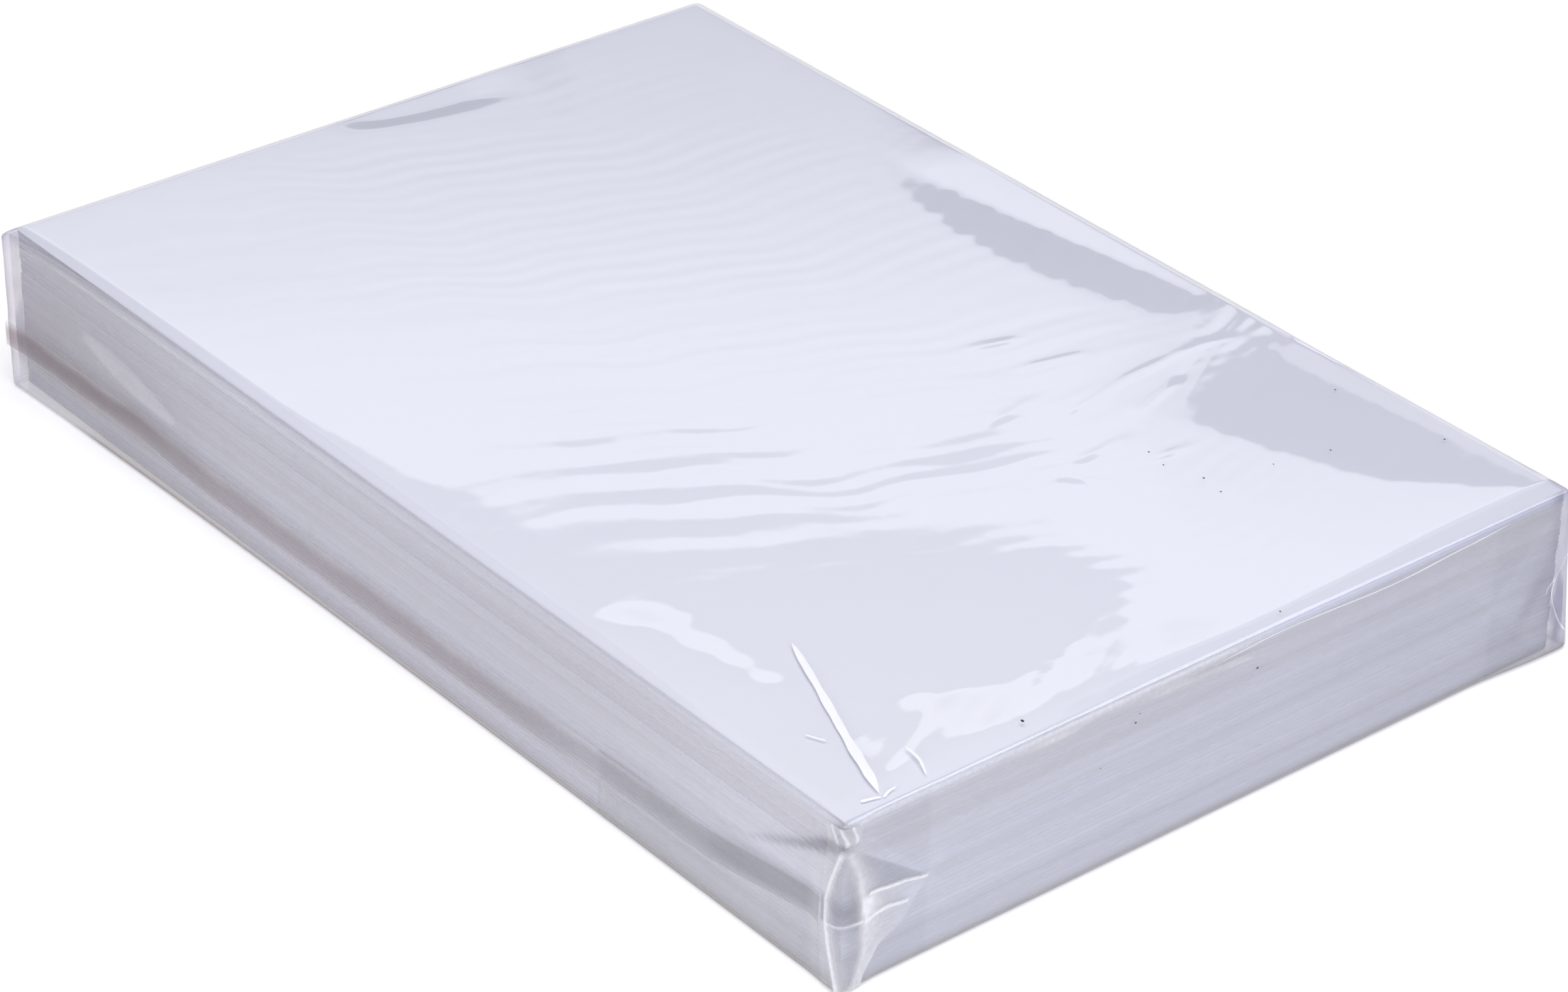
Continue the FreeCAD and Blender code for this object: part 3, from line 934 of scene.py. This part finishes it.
def lamp(name, size, power, place, target, colour):
    """A square area lamp that isn't itself seen or mirrored."""
    data = bpy.data.lights.new(name, "AREA")
    data.color = colour
    data.size = size
    data.energy = power
    made = bpy.data.objects.new(name, data)
    made.location = place
    made.rotation_euler = (Vector(target) - Vector(place)).to_track_quat("-Z", "Y").to_euler()
    made.visible_camera = False
    made.visible_glossy = False
    bpy.context.scene.collection.objects.link(made)


def overhead(strength, spread, place):
    """Even light from above and a little in front, the same all over the table."""
    data = bpy.data.lights.new("overhead", "SUN")
    data.energy = strength
    data.angle = math.radians(spread)
    made = bpy.data.objects.new("overhead", data)
    made.rotation_euler = (-Vector(place)).to_track_quat("-Z", "Y").to_euler()
    made.visible_camera = False
    made.visible_glossy = False
    bpy.context.scene.collection.objects.link(made)


def height_stops(stops):
    """Stops given as (degrees above the horizon, level), for the sine of the height."""
    return [(math.sin(math.radians(degrees)), level) for degrees, level in stops]


def sideways_stops(stops):
    """Stops given for a direction from -1 (left) to 1 (right), for half of it plus a half."""
    return [(0.5 + 0.5 * place, level) for place, level in stops]


def mirrored_room(tree):
    """What the film mirrors: a wall with a bright strip, a dark band under it, and high lamps."""
    direction = add(tree, "ShaderNodeTexCoord").outputs["Generated"]
    height = add(tree, "ShaderNodeSeparateXYZ", {0: direction}).outputs[2]
    sideways = add(tree, "ShaderNodeVectorMath", {0: direction, 1: STUDIO_RIGHT},
                   operation="DOT_PRODUCT").outputs["Value"]
    place = sum_node(tree, "MULTIPLY_ADD", sideways, 0.5, 0.5)
    raised = steps(tree, place, sideways_stops([(0.058, 0.0), (0.084, 1.0)]))
    wall_height = sum_node(tree, "MULTIPLY_ADD", raised, -0.030, height)
    wall = steps(tree, wall_height, height_stops([
        (10, 0.55), (23, 0.6), (25.2, 0.5), (27, 0.6), (28.5, 0.8), (30, 1.0), (31.5, 1.0),
        (31.9, 0.4), (90, 0.4)]))
    # the dark band lies lower to the left and higher to the right
    to_left = sum_node(tree, "MAXIMUM", sum_node(tree, "SUBTRACT", -0.045, sideways), 0.0)
    band_height = sum_node(tree, "MULTIPLY_ADD", to_left, 1.3, height)
    to_right = steps(tree, place, sideways_stops([(0.076, 0.0), (0.10, 0.9), (0.13, 1.0)]))
    band_height = sum_node(tree, "MULTIPLY_ADD", to_right, -0.046, band_height)
    band = steps(tree, band_height, height_stops([
        (16, 0.0), (19.5, 0.2), (23.7, 0.25), (24.4, 1.0), (26.7, 1.0), (27.3, 0.0)]))
    depth = steps(tree, place, sideways_stops([
        (-0.14, 0.2), (-0.12, 1.0), (-0.062, 1.0), (-0.05, 0.0), (0.018, 0.0), (0.030, 1.0)]))
    outside_band = sum_node(tree, "SUBTRACT", 1.0, sum_node(tree, "MULTIPLY", band, depth))
    # what the rounded edges mirror: dark gaps, then lamps, which hang above the wall
    sides = steps(tree, place, sideways_stops([
        (-0.74, 0.30), (-0.68, 0.04), (-0.30, 0.04), (-0.22, 0.2), (0.26, 0.2), (0.31, 0.04),
        (0.50, 0.04), (0.55, 1.0), (0.84, 1.0), (0.90, 0.2)]))
    most = steps(tree, height, height_stops([(30, 0.2), (33, 1.0)]))
    sides = sum_node(tree, "MINIMUM", sides, most)
    level = sum_node(tree, "MULTIPLY", sum_node(tree, "MULTIPLY", wall, outside_band), sides)
    return sum_node(tree, "MULTIPLY", level, LAMP_LEVEL)


def room():
    """The white room that lights the pack, and what of it the film mirrors."""
    world = bpy.data.worlds.new("room")
    bpy.context.scene.world = world
    world.use_nodes = True
    tree = world.node_tree
    tree.nodes.clear()
    path = add(tree, "ShaderNodeLightPath")
    shown = sum_node(tree, "MAXIMUM", path.outputs["Is Glossy Ray"],
                     path.outputs["Is Transmission Ray"])
    light = add(tree, "ShaderNodeBackground", {"Color": (0.955, 0.965, 1.0, 1), "Strength": 0.34})
    seen = add(tree, "ShaderNodeBackground", {"Color": (0.985, 0.99, 1.0, 1),
                                              "Strength": mirrored_room(tree)})
    white = add(tree, "ShaderNodeBackground", {"Color": (1, 1, 1, 1), "Strength": 1.0})
    first = add(tree, "ShaderNodeMixShader", {0: shown, 1: light.outputs[0], 2: seen.outputs[0]})
    last = add(tree, "ShaderNodeMixShader", {0: path.outputs["Is Camera Ray"],
                                             1: first.outputs[0], 2: white.outputs[0]})
    add(tree, "ShaderNodeOutputWorld", {"Surface": last.outputs[0]})


# ---- the scene
look_from(target=(12.2, -6.2, 10.0), azimuth=50.0, elevation=31.4, distance=536.0,
          roll=1.4, lens=109.8)
table()
overhead(1.60, 50, (0.20, -0.10, 1.0))
lamp("front_fill", 0.12, 0.15, (0.10, -0.32, 0.14), (0.05, -0.05, 0.01), (1.0, 0.95, 0.96))
lamp("end_fill", 0.12, 0.405, (0.34, -0.16, 0.14), (0.07, -0.02, 0.01), (0.81, 0.86, 1.0))
room()
bpy.context.scene.view_settings.view_transform = "Standard"

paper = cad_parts["paper_stack"]
paper.data.materials.clear()
paper.data.materials.append(paper_material())

clear_film = film_material("clear_film", 2)
layer_film = film_material("layer_film", 1)
place_film(film_skin(), clear_film)
place_film(lap_seam(), layer_film)
place_film(spare_layer(), layer_film)
place_film(corner_tuck(), layer_film)
place_film(end_folds("near_folds", 1), layer_film)
place_film(end_folds("far_folds", -1), layer_film)
place_film(creases("creases_and_highlight_line", [
    ("top", [(48.9, -35.5), (58.0, -39.0), (66.5, -42.4), (74.7, -45.6)], 0.85, 1.30),
    ("top", [(70.4, -38.5), (72.8, -38.9), (75.2, -39.9)], 0.45, 0.22),
    ("top", [(74.6, -47.9), (74.9, -46.8), (75.2, -45.8)], 0.5, 0.3),
    ("top", [(75.4, -45.6), (75.0, -44.6), (74.9, -43.6)], 0.35, 0.2),
    ("top", [(62.5, -44.9), (63.6, -44.4), (64.6, -43.9)], 0.25, 0.3),
    ("near", [(51.0, 12.6), (49.6, 9.6), (49.4, 7.6), (50.2, 4.4), (51.0, 2.4)], 0.10, 0.22),
    ("near", [(49.7, 9.9), (48.9, 9.2), (48.6, 8.3)], 0.16, 0.10),
    # a painted highlight: the bright wavy line where the film turns over the near end's upper edge
    ("near", [(-2.0, 19.3), (6.0, 19.7), (14.0, 19.5), (24.0, 19.1), (34.0, 19.5), (42.0, 19.9)],
     0.10, 0.20),
]), crease_and_highlight_material())
place_film(specks("dust", [
    ("top", 74.1, -26.3, 0.22), ("top", 75.2, 8.6, 0.12), ("top", 45.7, 46.1, 0.13),
    ("top", 55.1, 36.0, 0.14), ("top", 60.9, 47.9, 0.14), ("top", 51.0, 20.7, 0.16),
    ("top", 46.3, 19.1, 0.12), ("top", 43.3, 19.7, 0.13), ("top", 53.5, 28.8, 0.10),
    ("top", 54.2, 20.2, 0.13), ("near", -12.7, 16.6, 0.16), ("near", 4.5, 16.4, 0.18),
    ("near", -12.2, 17.5, 0.10), ("near", -17.3, 12.9, 0.08),
]), dust_material())
